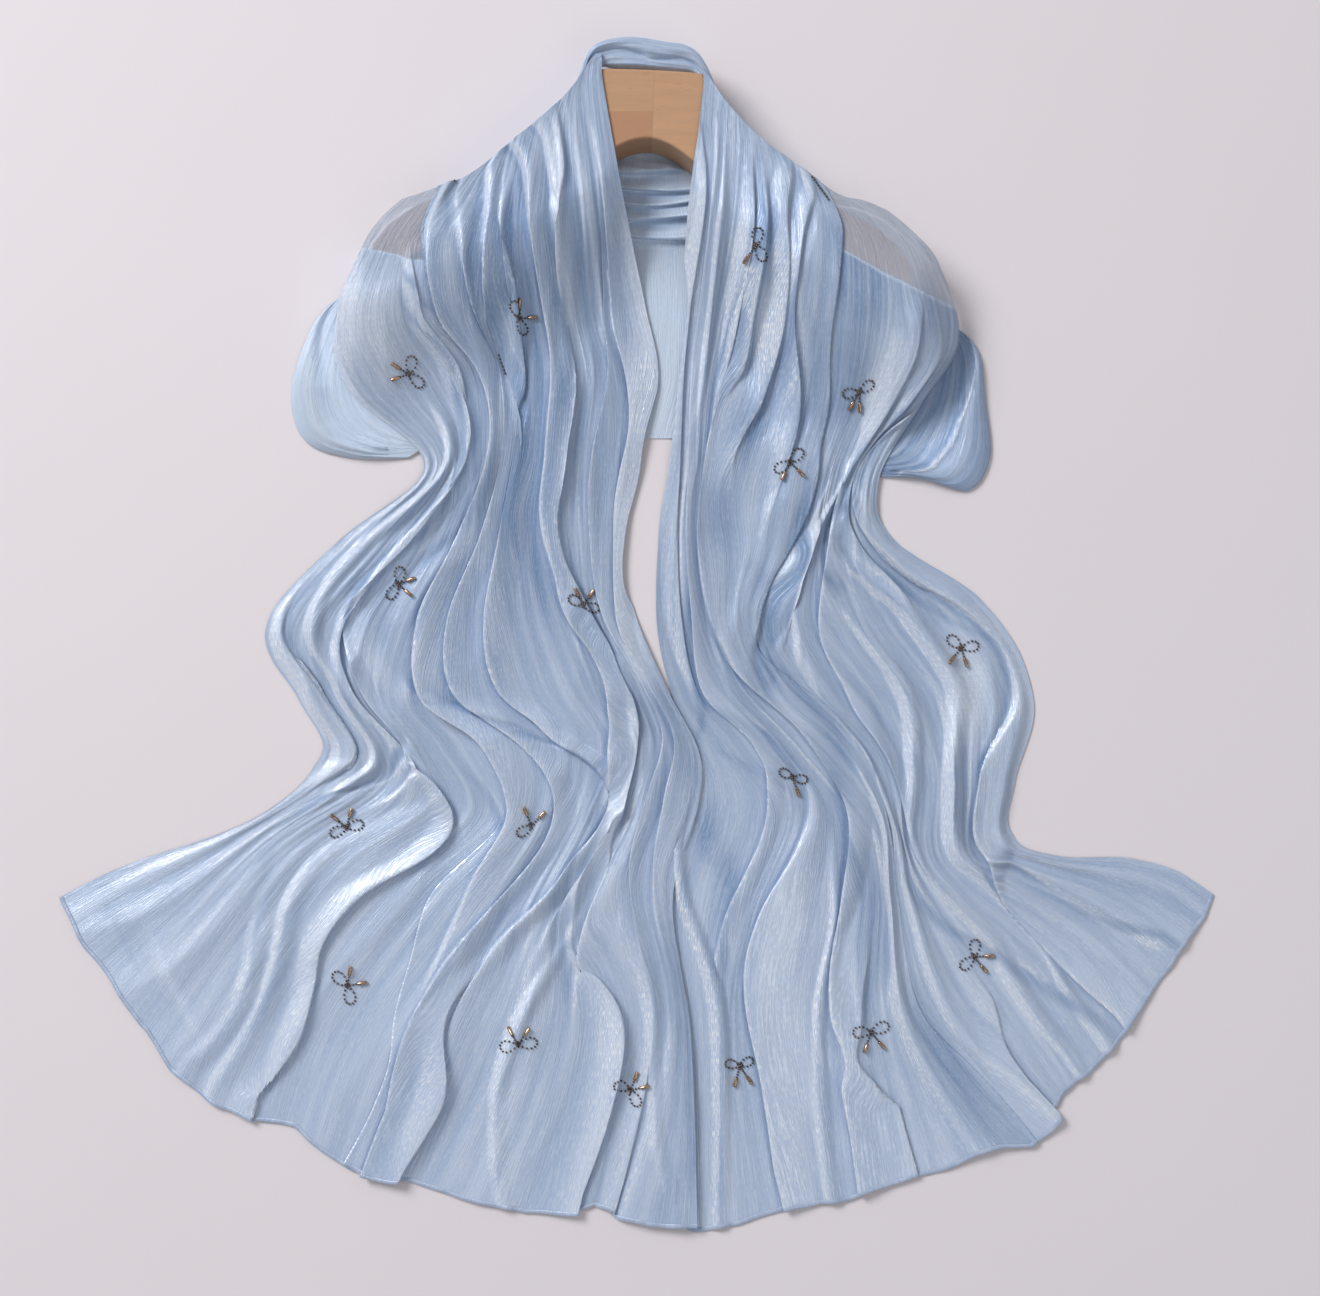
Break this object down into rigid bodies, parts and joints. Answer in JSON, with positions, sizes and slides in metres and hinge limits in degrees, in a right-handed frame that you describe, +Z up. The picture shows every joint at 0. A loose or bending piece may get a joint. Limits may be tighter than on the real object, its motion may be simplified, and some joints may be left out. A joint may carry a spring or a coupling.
{
  "type": "hijab scarf on a wooden hanger",
  "caption": "Sheer pleated hijab scarf laid flat over a wide wooden hanger, its ends fanned out below.",
  "frame": {"origin": "middle of the base of the whole, on the surface it lies on", "axes": "+Z up from the surface, +Y towards the neck, +X towards the right side as seen from above"},
  "size_m": [0.856, 0.8822, 0.045],
  "materials": {
    "wood": "satin varnish",
    "chiffon": "sheer satin crinkle",
    "hem": "narrow folded hem"
  },
  "bodies": {
    "root": {"hanger_left": "wood", "hanger_right": "wood", "neck_band": "chiffon", "back_drape": "chiffon", "front_left": "chiffon", "front_right": "chiffon", "shoulder_left": "chiffon", "shoulder_right": "chiffon", "lobe_left": "chiffon", "lobe_right": "chiffon", "hem_front_left": "hem", "hem_front_right": "hem", "hem_shoulder_left": "hem", "hem_shoulder_right": "hem"}
  },
  "joints": []
}
